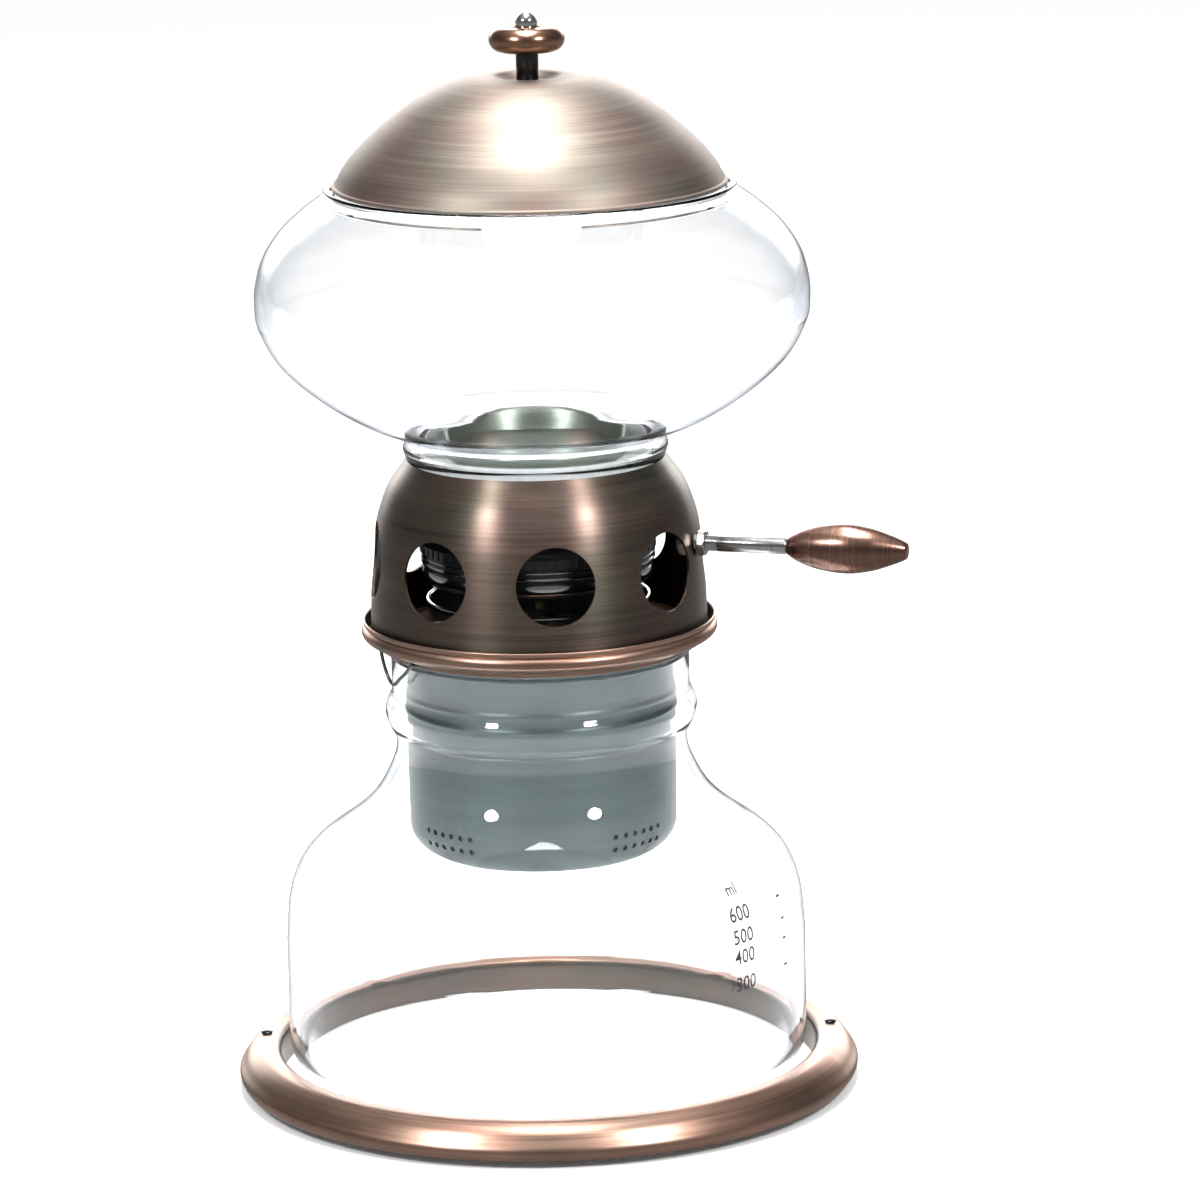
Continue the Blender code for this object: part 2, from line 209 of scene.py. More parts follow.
def bored(mesh, bars):
    """The mesh with holes cut where the bars pass."""
    joined = bmesh.new()
    for made in bars:
        part = bpy.data.meshes.new("bar")
        made.to_mesh(part)
        made.free()
        joined.from_mesh(part)
        bpy.data.meshes.remove(part)
    tool_mesh = bpy.data.meshes.new("bars")
    joined.to_mesh(tool_mesh)
    joined.free()
    tool = bpy.data.objects.new("bars", tool_mesh)
    blank = bpy.data.objects.new("blank", mesh)
    for obj in (tool, blank):
        bpy.context.scene.collection.objects.link(obj)
    change = blank.modifiers.new("cut", "BOOLEAN")
    change.operation, change.solver, change.object = "DIFFERENCE", "EXACT", tool
    bpy.context.view_layer.update()
    made = bpy.data.meshes.new_from_object(blank.evaluated_get(bpy.context.evaluated_depsgraph_get()))
    for obj in (tool, blank):
        bpy.data.objects.remove(obj)
    return made


def turned_normals(mesh, outline):
    """Give a cut, turned surface the smooth normals of its outline again."""
    spans = []
    for a, b in zip(outline, outline[1:] + outline[:1]):
        a, b = Vector(a) * MM, Vector(b) * MM
        if (b - a).length > 1e-7:
            spans.append((a, b, Vector((-(b - a).y, (b - a).x)).normalized()))
    tilt = []
    for i, (a, b, across) in enumerate(spans):
        before, after = spans[i - 1][2], spans[(i + 1) % len(spans)][2]
        first = (across + before).normalized() if across.dot(before) > 0.8 else across
        last = (across + after).normalized() if across.dot(after) > 0.8 else across
        tilt.append((first, last))
    found = {}
    for vert in mesh.vertices:
        r, z = math.hypot(vert.co.x, vert.co.y), vert.co.z
        near = []
        for (a, b, across), (first, last) in zip(spans, tilt):
            t = max(0.0, min(1.0, (Vector((r, z)) - a).dot(b - a) / (b - a).length_squared))
            away = (a.lerp(b, t) - Vector((r, z))).length
            if away < 0.05 * MM:
                near.append(first.lerp(last, t).normalized())
        found[vert.index] = near
    normals = [loop.normal.copy() for loop in mesh.loops]
    for face in mesh.polygons:
        for index in face.loop_indices:
            vert = mesh.vertices[mesh.loops[index].vertex_index]
            out = Vector((vert.co.x, vert.co.y, 0)).normalized()
            best = None
            for lean in found[vert.index]:
                true = Vector((out.x * lean.x, out.y * lean.x, lean.y))
                true = true if true.dot(face.normal) > 0 else -true
                if true.dot(face.normal) > 0.85 and (best is None or
                                                     true.dot(face.normal) > best.dot(face.normal)):
                    best = true
            normals[index] = best or face.normal.copy()
    mesh.normals_split_custom_set([tuple(n) for n in normals])


def tube(name, points, radius, surface, body, nodes=()):
    """A wire of round section along points in millimetres, as a closed mesh."""
    data = bpy.data.curves.new(name, "CURVE")
    data.dimensions = "3D"
    data.bevel_depth = radius * MM
    data.bevel_resolution = 4
    data.use_fill_caps = True
    spline = data.splines.new("POLY")
    spline.points.add(len(points) - 1)
    for point, place in zip(spline.points, points):
        point.co = (*(v * MM for v in place), 1.0)
    drawn = bpy.data.objects.new(name, data)
    bpy.context.scene.collection.objects.link(drawn)
    bpy.context.view_layer.update()
    mesh = bpy.data.meshes.new_from_object(drawn.evaluated_get(bpy.context.evaluated_depsgraph_get()))
    bpy.data.objects.remove(drawn)
    bm = bmesh.new()
    bm.from_mesh(mesh)
    bmesh.ops.remove_doubles(bm, verts=bm.verts, dist=1e-6)
    bmesh.ops.recalc_face_normals(bm, faces=bm.faces)
    bm.to_mesh(mesh)
    bm.free()
    return add(name, mesh, surface, body, nodes)


def polar(angle, r, z):
    """A point in millimetres at a compass angle round the axis."""
    a = math.radians(angle)
    return Vector((r * math.cos(a), r * math.sin(a), z))


def upright(angle, r, z):
    """A place at a compass angle whose own Z axis points up."""
    return Matrix.Translation(polar(angle, r, z) * MM)


def outward(angle, r, z):
    """A place whose own Z axis points away from the axis."""
    a = math.radians(angle)
    turn = Vector((math.cos(a), math.sin(a), 0)).to_track_quat("Z", "Y").to_matrix().to_4x4()
    return Matrix.Translation(polar(angle, r, z) * MM) @ turn


# ---------------------------------------------------------------- materials

def nodes_of(name):
    """A new material, its node tree and its shader."""
    made = bpy.data.materials.new(name)
    made.use_nodes = True
    tree = made.node_tree
    return made, tree, tree.nodes["Principled BSDF"]


def node(tree, kind, **settings):
    """A new node; each setting is an input socket's value or a property of the node."""
    made = tree.nodes.new(kind)
    for key, value in settings.items():
        if key in made.inputs:
            made.inputs[key].default_value = value
        else:
            setattr(made, key, value)
    return made


def ramp(tree, source, stops):
    """The source's value turned into a colour, between (position, colour) stops."""
    made = tree.nodes.new("ShaderNodeValToRGB")
    elements = made.color_ramp.elements
    while len(elements) < len(stops):
        elements.new(0.5)
    for element, (position, colour) in zip(elements, stops):
        element.position = position
        element.color = (*colour, 1.0)
    tree.links.new(source, made.inputs["Fac"])
    return made.outputs["Color"]


def remap(tree, source, start=(0.0, 1.0), end=(0.0, 1.0)):
    """A value taken from one range to another."""
    made = node(tree, "ShaderNodeMapRange")
    for name, value in zip(("From Min", "From Max", "To Min", "To Max"), (*start, *end)):
        made.inputs[name].default_value = value
    tree.links.new(source, made.inputs["Value"])
    return made.outputs["Result"]


def multiply(tree, first, second):
    """A Mix node that multiplies a colour by another colour, or by a fixed one."""
    made = node(tree, "ShaderNodeMix", data_type="RGBA", blend_type="MULTIPLY")
    made.inputs["Factor"].default_value = 1.0
    tree.links.new(first, made.inputs["A"])
    if isinstance(second, tuple):
        made.inputs["B"].default_value = (*second, 1.0)
    else:
        tree.links.new(second, made.inputs["B"])
    return made


def along_run(tree, across, along):
    """Coordinates that change slowly over the piece and fast along its turned outline."""
    place = node(tree, "ShaderNodeTexCoord")
    slow = node(tree, "ShaderNodeVectorMath", operation="SCALE")
    slow.inputs["Scale"].default_value = across
    tree.links.new(place.outputs["Object"], slow.inputs[0])
    run = node(tree, "ShaderNodeAttribute", attribute_name="run")
    fast = node(tree, "ShaderNodeMath", operation="MULTIPLY")
    fast.inputs[1].default_value = along
    tree.links.new(run.outputs["Fac"], fast.inputs[0])
    step = node(tree, "ShaderNodeCombineXYZ")
    tree.links.new(fast.outputs[0], step.inputs["Z"])
    total = node(tree, "ShaderNodeVectorMath", operation="ADD")
    tree.links.new(slow.outputs[0], total.inputs[0])
    tree.links.new(step.outputs[0], total.inputs[1])
    return total.outputs[0]


def noise(tree, vector, scale=1.0, detail=3.0, rough=0.6):
    """Soft random patches, as a value from 0 to 1."""
    made = node(tree, "ShaderNodeTexNoise", Scale=scale, Detail=detail, Roughness=rough)
    tree.links.new(vector, made.inputs["Vector"])
    return made.outputs["Fac"]


def facing_axis(tree):
    """1 where the surface faces the vertical axis, 0 where it faces away, up or down."""
    place = node(tree, "ShaderNodeTexCoord")
    level = node(tree, "ShaderNodeVectorMath", operation="MULTIPLY")
    level.inputs[1].default_value = (1.0, 1.0, 0.0)
    tree.links.new(place.outputs["Object"], level.inputs[0])
    away = node(tree, "ShaderNodeVectorMath", operation="NORMALIZE")
    tree.links.new(level.outputs[0], away.inputs[0])
    surface = node(tree, "ShaderNodeNewGeometry")
    facing = node(tree, "ShaderNodeVectorMath", operation="DOT_PRODUCT")
    tree.links.new(away.outputs[0], facing.inputs[0])
    tree.links.new(surface.outputs["Normal"], facing.inputs[1])
    return remap(tree, facing.outputs["Value"], start=(-0.25, -0.6))


def brushed(name, stops, gloss, grain=1800.0, sway=0.35, lines=0.12, pull=0.6,
            axis="Z", patina=None, inside=None):
    """Turned metal with fine lines round its axis: colour, gloss and bump all follow them.

    gloss is the roughness between and on the lines; patina tints broad, soft patches; inside
    darkens the walls that face the axis: painted shade inside the helmet, a darker inner wall on the base
    ring.
    is the tint of the walls that face the axis, which are left unpolished.
    """
    made, tree, shader = nodes_of(name)
    slow = 9.0
    fine = noise(tree, along_run(tree, slow, grain), detail=4.0, rough=0.65)
    broad = noise(tree, along_run(tree, slow * 2.5, grain / 14), detail=2.0)
    blend = node(tree, "ShaderNodeMix", data_type="FLOAT")
    blend.inputs["Factor"].default_value = sway
    tree.links.new(fine, blend.inputs["A"])
    tree.links.new(broad, blend.inputs["B"])
    colour = ramp(tree, blend.outputs["Result"], stops)
    if patina:
        place = node(tree, "ShaderNodeTexCoord")
        patch = noise(tree, place.outputs["Object"], scale=38.0, detail=2.0)
        colour = multiply(tree, colour, ramp(tree, patch, patina)).outputs["Result"]
    # inside: painted shade, multiplying the colour down on the walls that face the axis
    if inside:
        inner_wall_shade = multiply(tree, colour, inside)
        tree.links.new(facing_axis(tree), inner_wall_shade.inputs["Factor"])
        colour = inner_wall_shade.outputs["Result"]
    tree.links.new(colour, shader.inputs["Base Color"])
    tree.links.new(remap(tree, fine, end=gloss), shader.inputs["Roughness"])
    shader.inputs["Metallic"].default_value = 1.0
    shader.inputs["Anisotropic"].default_value = pull
    shader.inputs["Anisotropic Rotation"].default_value = 0.25
    tangent = node(tree, "ShaderNodeTangent", direction_type="RADIAL", axis=axis)
    tree.links.new(tangent.outputs[0], shader.inputs["Tangent"])
    bump = node(tree, "ShaderNodeBump", Strength=lines, Distance=0.00005)
    tree.links.new(fine, bump.inputs["Height"])
    tree.links.new(bump.outputs["Normal"], shader.inputs["Normal"])
    return made


def polished(name, colour, gloss):
    """Bright metal with faint wear: the gloss varies in small soft patches."""
    made, tree, shader = nodes_of(name)
    place = node(tree, "ShaderNodeTexCoord")
    wear = noise(tree, place.outputs["Object"], scale=220.0, detail=4.0)
    darker = tuple(c * 0.86 for c in colour)
    tree.links.new(ramp(tree, wear, [(0.3, darker), (0.65, colour)]), shader.inputs["Base Color"])
    tree.links.new(remap(tree, wear, end=(gloss, gloss + 0.08)), shader.inputs["Roughness"])
    shader.inputs["Metallic"].default_value = 1.0
    return made


def matte(name, colour, gloss, grain=900.0, lines=0.2, glow=0.0):
    """Rubber, plastic, enamel or ink, with a fine pebbled grain; glow lets light through."""
    made, tree, shader = nodes_of(name)
    place = node(tree, "ShaderNodeTexCoord")
    pebble = noise(tree, place.outputs["Object"], scale=grain, detail=3.0)
    darker = tuple(c * 0.8 for c in colour)
    tree.links.new(ramp(tree, pebble, [(0.3, darker), (0.7, colour)]), shader.inputs["Base Color"])
    tree.links.new(remap(tree, pebble, end=(gloss, gloss + 0.12)), shader.inputs["Roughness"])
    shader.inputs["Transmission Weight"].default_value = glow
    bump = node(tree, "ShaderNodeBump", Strength=lines, Distance=0.0001)
    tree.links.new(pebble, bump.inputs["Height"])
    tree.links.new(bump.outputs["Normal"], shader.inputs["Normal"])
    return made


def glass(name, tint, density):
    """Clear blown glass with faint waves; painted shade turns its colour grey-blue where it is seen edge
    on.
    """
    made, tree, shader = nodes_of(name)
    shader.inputs["Roughness"].default_value = 0.0
    shader.inputs["IOR"].default_value = 1.47
    shader.inputs["Transmission Weight"].default_value = 1.0
    # painted shade: the colour turns grey-blue towards the parts of the glass seen edge on
    slope = node(tree, "ShaderNodeLayerWeight", Blend=0.5)
    painted_edge_shade = ramp(tree, slope.outputs["Facing"], [
        (0.50, (1.0, 1.0, 1.0)), (0.73, (0.87, 0.90, 0.94)), (0.89, (0.60, 0.66, 0.76)),
        (1.0, (0.34, 0.40, 0.50))])
    tree.links.new(painted_edge_shade, shader.inputs["Base Color"])
    place = node(tree, "ShaderNodeTexCoord")
    wave = noise(tree, place.outputs["Object"], scale=26.0, detail=1.0)
    bump = node(tree, "ShaderNodeBump", Strength=0.12, Distance=0.0006)
    tree.links.new(wave, bump.inputs["Height"])
    tree.links.new(bump.outputs["Normal"], shader.inputs["Normal"])
    inside = node(tree, "ShaderNodeVolumeAbsorption", Color=(*tint, 1.0), Density=density)
    tree.links.new(inside.outputs[0], tree.nodes["Material Output"].inputs["Volume"])
    return made


# helmet: inside paints near-black shade on the walls inside the helmet
helmet_copper = brushed(
    "helmet_copper",
    [(0.30, (0.108, 0.086, 0.076)), (0.50, (0.185, 0.144, 0.120)), (0.72, (0.265, 0.204, 0.168))],
    (0.31, 0.42), sway=0.5, lines=0.08, pull=0.78, inside=(0.06, 0.06, 0.06),
    patina=[(0.35, (0.84, 0.96, 0.88)), (0.65, (1.0, 0.90, 0.90))])
lid_copper = brushed(
    "lid_copper",
    [(0.28, (0.180, 0.142, 0.124)), (0.50, (0.275, 0.219, 0.192)), (0.72, (0.375, 0.302, 0.268))],
    (0.43, 0.56), sway=0.5, lines=0.08, pull=0.10,
    patina=[(0.35, (0.84, 0.94, 0.90)), (0.65, (1.0, 0.91, 0.89))])
# rim: inside darkens the base ring's inner wall
rim_copper = brushed(
    "rim_copper",
    [(0.30, (0.350, 0.205, 0.155)), (0.50, (0.500, 0.315, 0.245)), (0.72, (0.660, 0.445, 0.360))],
    (0.28, 0.42), sway=0.5, lines=0.06, pull=0.3, inside=(0.17, 0.19, 0.18),
    patina=[(0.35, (0.76, 0.84, 0.82)), (0.65, (1.0, 0.94, 0.92))])
grip_copper = brushed(
    "grip_copper",
    [(0.30, (0.170, 0.092, 0.068)), (0.50, (0.260, 0.148, 0.112)), (0.72, (0.360, 0.215, 0.165))],
    (0.20, 0.32), pull=0.2, axis="X")
knob_copper = brushed(
    "knob_copper",
    [(0.30, (0.230, 0.125, 0.085)), (0.50, (0.360, 0.200, 0.135)), (0.72, (0.500, 0.290, 0.200))],
    (0.18, 0.30), pull=0.2)
satin_steel = brushed(
    "satin_steel",
    [(0.28, (0.088, 0.110, 0.113)), (0.50, (0.105, 0.130, 0.133)), (0.72, (0.126, 0.155, 0.158))],
    (0.34, 0.44), grain=2600.0, sway=0.5, lines=0.05, pull=0.45)
cup_steel = brushed(
    "cup_steel",
    [(0.28, (0.160, 0.190, 0.160)), (0.50, (0.205, 0.240, 0.205)), (0.72, (0.250, 0.290, 0.250))],
    (0.30, 0.42), grain=2600.0, sway=0.5, lines=0.05, pull=0.35)
bright_steel = brushed(
    "bright_steel",
    [(0.30, (0.52, 0.54, 0.54)), (0.70, (0.70, 0.72, 0.72))], (0.14, 0.24), lines=0.05, pull=0.3)
rod_steel = brushed(
    "rod_steel", [(0.30, (0.42, 0.43, 0.44)), (0.70, (0.66, 0.67, 0.68))], (0.16, 0.28), axis="X")
dark_steel = polished("dark_steel", (0.055, 0.055, 0.060), 0.18)
chrome = polished("chrome", (0.80, 0.80, 0.82), 0.10)
brass = polished("brass", (0.62, 0.47, 0.22), 0.20)
woven_steel = matte("woven_steel", (0.06, 0.065, 0.065), 0.5, grain=2600.0)
pad_rubber = matte("pad_rubber", (0.025, 0.025, 0.025), 0.75)
silicone = matte("silicone", (0.80, 0.83, 0.83), 0.35, grain=500.0, lines=0.05, glow=0.4)
ink = matte("ink", (0.035, 0.035, 0.045), 0.5)
floor_enamel = matte("floor_enamel", (0.93, 0.93, 0.93), 0.30, grain=60.0, lines=0.01)
dial_plastic = matte("dial_plastic", (0.012, 0.012, 0.012), 0.16, lines=0.03)
blown_glass = glass("blown_glass", (0.62, 0.70, 0.80), 22.0)


# ---------------------------------------------------------------- base

def make_base():
    """The spun ring with its two rivets, the floor plate and the rubber pad."""
    outer, top, low = edge("base_ring", "r"), edge("base_ring", "high"), edge("base_ring", "low")
    recess = outer - 12.7
    skin = ([(recess, low), (recess, top - 2.6)]
            + arc(recess + 2.0, top - 2.4, 2.0, 180, 106, 6)
            + curve([(recess + 2.6, top - 0.32), (recess + 4.6, top), (recess + 6.6, top - 0.3),
                     (outer - 3.3, top - 2.2), (outer - 1.3, top - 5.0), (outer - 0.1, low + 3.4),
                     (outer - 0.2, low + 1.6), (outer - 1.2, low)], 6))
    outline = sheet(skin, BASE_SHEET)
    mesh = turned_mesh(outline, 160)
    rivets = [middle("base_rivet_1"), middle("base_rivet_2")]
    rivet_r = rivets[0].xy.length / MM
    angles = [math.degrees(math.atan2(place.y, place.x)) for place in rivets]
    rivet_hole = 1.6
    mesh = bored(mesh, [bar(rivet_hole, 8, upright(a, rivet_r, top), 24) for a in angles])
    turned_normals(mesh, outline)
    add("base_ring_spun", mesh, rim_copper, "base", ["base_ring"])
    seat, head = edge("base_rivet_1", "low"), edge("base_rivet_1", "high")
    rivet = ([(0, head), (0.7, head - 0.04), (1.4, head - 0.2), (1.85, head - 0.42), (1.9, head - 0.55)]
             + [(1.25, head - 0.6), (1.25, seat), (0, seat)])
    for i, angle in enumerate(angles):
        turned(f"base_rivet_head_{i + 1}", rivet, dark_steel, "base",
               [f"base_rivet_{i + 1}"], 24, upright(angle, rivet_r, 0))
    plate_r, plate_low, plate_top = (edge("base_plate", s) for s in ("r", "low", "high"))
    plate = ([(0, plate_top), (69.0, plate_top), (69.5, plate_top - 0.25), (70.0, plate_top)]
             + [(plate_r - 0.3, plate_top), (plate_r, plate_top - 0.3), (plate_r - 0.3, plate_low)]
             + [(0, plate_low)])
    turned("base_floor", plate, floor_enamel, "base", ["base_plate"], segments=160)
    pad_r, pad_top = edge("base_pad", "r"), edge("base_pad", "high")
    pad = rounded([(0, pad_top), (pad_r, pad_top), (pad_r, 0), (0, 0)], 0.3, closed=False)
    turned("base_pad_sheet", pad, pad_rubber, "base", ["base_pad"])


# ---------------------------------------------------------------- server

def server_skin():
    """The server's outer skin: lip, bulged neck, waist, shoulder, wall and foot."""
    top, outer, low = edge("server_glass", "high"), edge("server_glass", "r"), edge("server_glass", "low")
    lip = arc(SERVER_NECK - SERVER_LIP, top - SERVER_LIP, SERVER_LIP, 90, 0, 6)
    waist = curve([(SERVER_NECK, 124.0), (44.15, 120.0), (45.35, 117.6), (46.1, 114.6), (45.3, 111.0),
                   (43.6, 107.6), (43.0, 104.4), (43.7, 100.4), (46.5, 94.0), (49.6, 89.0),
                   (54.0, 84.2), (60.6, 79.0), (67.0, 74.4), (71.6, 69.6), (74.5, 64.0),
                   (76.2, 57.5), (outer, 46.0)], 6)
    corner = arc(outer - 13.0, low + 13.0, 13.0, 0, -82, 14)
    return lip + waist + [(outer, 30.0), (outer, 22.0)] + corner + [(60.0, low), (50.0, low + 0.7),
                                                                    (30.0, low + 1.1), (0, low + 1.2)]


def make_server():
    """The glass server with its printed scale."""
    skin = server_skin()
    outline = sheet(skin, GLASS)
    top = edge("server_glass", "high")
    mouth = arc(SERVER_NECK - SERVER_LIP, top - SERVER_LIP, SERVER_LIP, 180, 96, 5)
    jug = turned("server_jug", mouth + outline, blown_glass, "server", ["server_glass"])
    jug.visible_shadow = False
    make_scale([(r, z) for r, z in skin if z > 20])


def make_scale(wall):
    """A generic volume scale printed on the outside: four marks with plain numbers."""
    wall = sorted(wall, key=lambda p: p[1])

    def radius_at(z):
        """The wall's outer radius at a height."""
        for (r1, z1), (r2, z2) in zip(wall, wall[1:]):
            if z1 <= z <= z2 and z2 > z1:
                return r1 + (r2 - r1) * (z - z1) / (z2 - z1)
        return wall[-1][0]

    def printed(name, flat, angle, height):
        """Wrap a flat mesh, drawn in millimetres, on the wall."""
        for vert in flat.vertices:
            z = height + vert.co.y
            r = radius_at(z) + PRINT_LIFT
            vert.co = polar(angle + math.degrees(vert.co.x / r), r, z) * MM
        flat.update()
        obj = add(name, flat, ink, "server")
        obj.visible_shadow = False

    def dash(width, height):
        """A flat bar in three steps, so that it bends round the wall."""
        bm = bmesh.new()
        bmesh.ops.create_grid(bm, x_segments=3, y_segments=1, size=0.5,
                              matrix=Matrix.Diagonal((width, height, 1.0, 1.0)))
        mesh = bpy.data.meshes.new("dash")
        bm.to_mesh(mesh)
        bm.free()
        return mesh

    def lettering(text, size):
        """A flat mesh of plain text, centred on its own origin."""
        data = bpy.data.curves.new("numbers", "FONT")
        data.body, data.size, data.align_x = text, size, "CENTER"
        data.resolution_u = 3
        data.offset = size * 0.012
        drawn = bpy.data.objects.new("numbers", data)
        bpy.context.scene.collection.objects.link(drawn)
        bpy.context.view_layer.update()
        mesh = bpy.data.meshes.new_from_object(
            drawn.evaluated_get(bpy.context.evaluated_depsgraph_get()))
        bpy.data.objects.remove(drawn)
        return mesh

    mark_angle, number_angle = FRONT + 65.4, FRONT + 49.0
    for height, text in ((63.0, "600"), (56.5, "500"), (50.6, "400"), (42.6, "300")):
        printed(f"scale_mark_{text}", dash(2.2, 0.7), mark_angle, height)
        printed(f"scale_number_{text}", lettering(text, 6.0), number_angle, height - 2.1)
    printed("scale_unit", lettering("ml", 4.8), number_angle, 68.0)


# ---------------------------------------------------------------- strainer and spreader

def make_strainer():
    """The ribbed steel strainer with four patches of holes, and the mesh behind them."""
    rim = edge("strainer_cup", "r")
    top, low = edge("strainer_cup", "high"), edge("strainer_cup", "low")
    under = top - 0.8
    wall, wide = 39.4, 39.6
    skin = ([(rim, under)] + arc(wide + 1.6, under - 1.6, 1.6, 90, 180, 6) + [(wide, 123.4)]
            + curve([(wide, 122.2), (wide + 0.10, 121.3), (wide + 0.4, 120.2), (wide + 0.10, 119.1),
                     (wide, 117.7), (wide + 0.10, 116.3), (wide + 0.4, 115.2),
                     (wide + 0.10, 114.1), (wide, 113.2)], 4)
            + [(wide, 109.6)] + curve([(wide, 109.2), (wide - 0.04, 108.8), (wall - 0.15, 108.3),
                                       (wall - 0.04, 107.8), (wall, 107.4)], 4)
            + [(wall, 100.0), (wall, 90.0)] + arc(wall - 9.0, low + 9.0, 9.0, 0, -90, 14)
            + [(20.0, low), (0, low)])
    outline = sheet(skin, STRAINER_SHEET)
    mesh = turned_mesh(outline, 144)
    bars = []
    hole, lowest, apart, turn = 0.85, 6.6, 4.0, 5.1
    for patch in range(4):
        for column in range(6):
            for row in range(2):
                angle = FRONT + 45 + 90 * patch + (column - 2.5) * turn
                bars.append(bar(hole, 6, outward(angle, wall, low + lowest + apart * row), 12))
    mesh = bored(mesh, bars)
    turned_normals(mesh, outline)
    add("strainer_body", mesh, satin_steel, "strainer", ["strainer_cup"])
    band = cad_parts["mesh_band"]
    band.data.materials.clear()
    band.data.materials.append(woven_steel)


def make_spreader():
    """The perforated plate and the splash ring that stands on it."""
    rim, low, top = (edge("spreader_plate", s) for s in ("r", "low", "high"))
    plate = rounded([(0, top), (rim, top), (rim, low), (0, low)], 0.3, closed=False)
    mesh = turned_mesh(plate, 96)
    bars = []
    for ring, count in ((9.0, 6), (18.0, 12), (27.0, 18)):
        bars += [bar(1.5, 5, upright(360 * i / count, ring, low), 20) for i in range(count)]
    mesh = bored(mesh, bars)
    add("spreader_disc", mesh, satin_steel, "spreader", ["spreader_plate"], sharp=30)
    crest, foot, wide = (edge("splash_ring", s) for s in ("high", "low", "r"))
    wall = 33.0
    outline = (arc(wall - 0.4, crest - 0.7, 0.7, 180, 0, 10) + [(wall, crest - 1.6), (wall, foot + 1.2)]
               + [(wide, foot), (wall - 0.8, foot), (wall - 0.8, crest - 1.2)])
    turned("splash_wall", outline, bright_steel, "spreader", ["splash_ring"])


# ---------------------------------------------------------------- helmet, collar, clip, handle

def make_helmet():
    """The pierced helmet, and the collar ring that it stands in."""
    top, low, outer = (edge("helmet_shell", s) for s in ("high", "low", "r"))
    skin = curve([(38.0, top), (39.3, 187.8), (43.4, 182.0), (45.9, 176.0), (47.5, 170.0),
                  (48.35, 164.0), (48.85, 158.0), (49.3, 150.0), (outer, 143.0)], 8) + [(outer, low)]
    outline = sheet(skin, COPPER_SHEET)
    mesh = turned_mesh(outline, 192)
    wall, reach, rod_hole = 48.0, 16, 2.6
    bars = [bar(PORT_R, reach, outward(360 / PORTS * (i + 0.5), wall, PORT_Z)) for i in range(PORTS)]
    bars.append(bar(rod_hole, reach, outward(0, wall, middle("handle_rod").z / MM), 24))
    mesh = bored(mesh, bars)
    turned_normals(mesh, outline)
    add("helmet_dome", mesh, helmet_copper, "helmet", ["helmet_shell"])
    wide, lip, skirt = (edge("collar_ring", s) for s in ("r", "high", "low"))
    floor = low - 0.3
    bead = arc(wide - 2.0, 138.4, 2.0, 62, -78, 16)
    outline = rounded([(37.5, floor), (49.9, floor), (50.9, floor + 1.0), (51.25, lip - 0.5),
                       (51.55, lip), (51.95, lip - 0.4), (51.75, lip - 1.5)], 0.25)[:-1]
    outline = (outline + bead + rounded([(49.6, floor - 1.0), (46.7, floor - 1.0), (46.7, skirt),
                                         (45.9, skirt), (45.9, floor - 1.0), (37.5, floor - 1.0)],
                                        0.2, closed=False))
    turned("collar_bead", outline, rim_copper, "helmet", ["collar_ring"], segments=160)


def make_clip():
    """The bent wire clip under the collar: down steeply, round, and back up at a slant."""
    low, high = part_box("wire_clip")
    top = high.z / MM - 0.6
    bottom = low.z / MM + 0.62
    route = [(209.5, 47.9, top), (209.9, 47.3, top - 3.6), (211.0, 46.5, bottom + 2.2),
             (213.2, 46.1, bottom + 0.5), (216.4, 46.0, bottom), (219.5, 46.0, bottom + 0.7),
             (223.0, 46.0, bottom + 2.6), (228.0, 46.4, bottom + 4.9), (236.0, 47.9, top)]
    path = [tuple(polar(a, r, z)) for a, r, z in curve(route, 8)]
    tube("clip_wire", path, 0.55, cup_steel, "helmet", ["wire_clip"])


def along_handle(x):
    """A place on the handle's axis whose own Z axis runs outwards along it."""
    height = middle("handle_rod").z
    return Matrix.Translation((x * MM, 0, height)) @ Matrix.Rotation(math.pi / 2, 4, "Y")


def side_bar(across, turn):
    """A hidden block that cuts one flat side of a hexagon."""
    bm = bmesh.new()
    size = Matrix.Diagonal((across * MM, across * 3 * MM, across * 4 * MM, 1.0))
    place = Matrix.Rotation(turn, 4, "Z") @ Matrix.Translation((across * MM, 0, 0))
    bmesh.ops.create_cube(bm, size=1.0, matrix=place @ size)
    return bm


def hex_nut(name, across, height, bore, surface, body, node_name, place):
    """A hexagon nut with chamfered corners and a bored hole, its own Z along the bore."""
    face, corner = across * 0.54 - 0.35, across * 0.54 + 0.1
    blank = [(0, height), (face, height), (corner, height - 0.5), (corner, 0.5), (face, 0), (0, 0)]
    mesh = turned_mesh(rounded(blank, 0.15, closed=False), FINE)
    tools = [bar(bore, height * 3, Matrix.Identity(4), 32)]
    tools += [side_bar(across, math.radians(60 * k)) for k in range(6)]
    for tool in tools:
        mesh = bored(mesh, [tool])
    mesh.transform(place)
    return add(name, mesh, surface, body, [node_name], sharp=25)


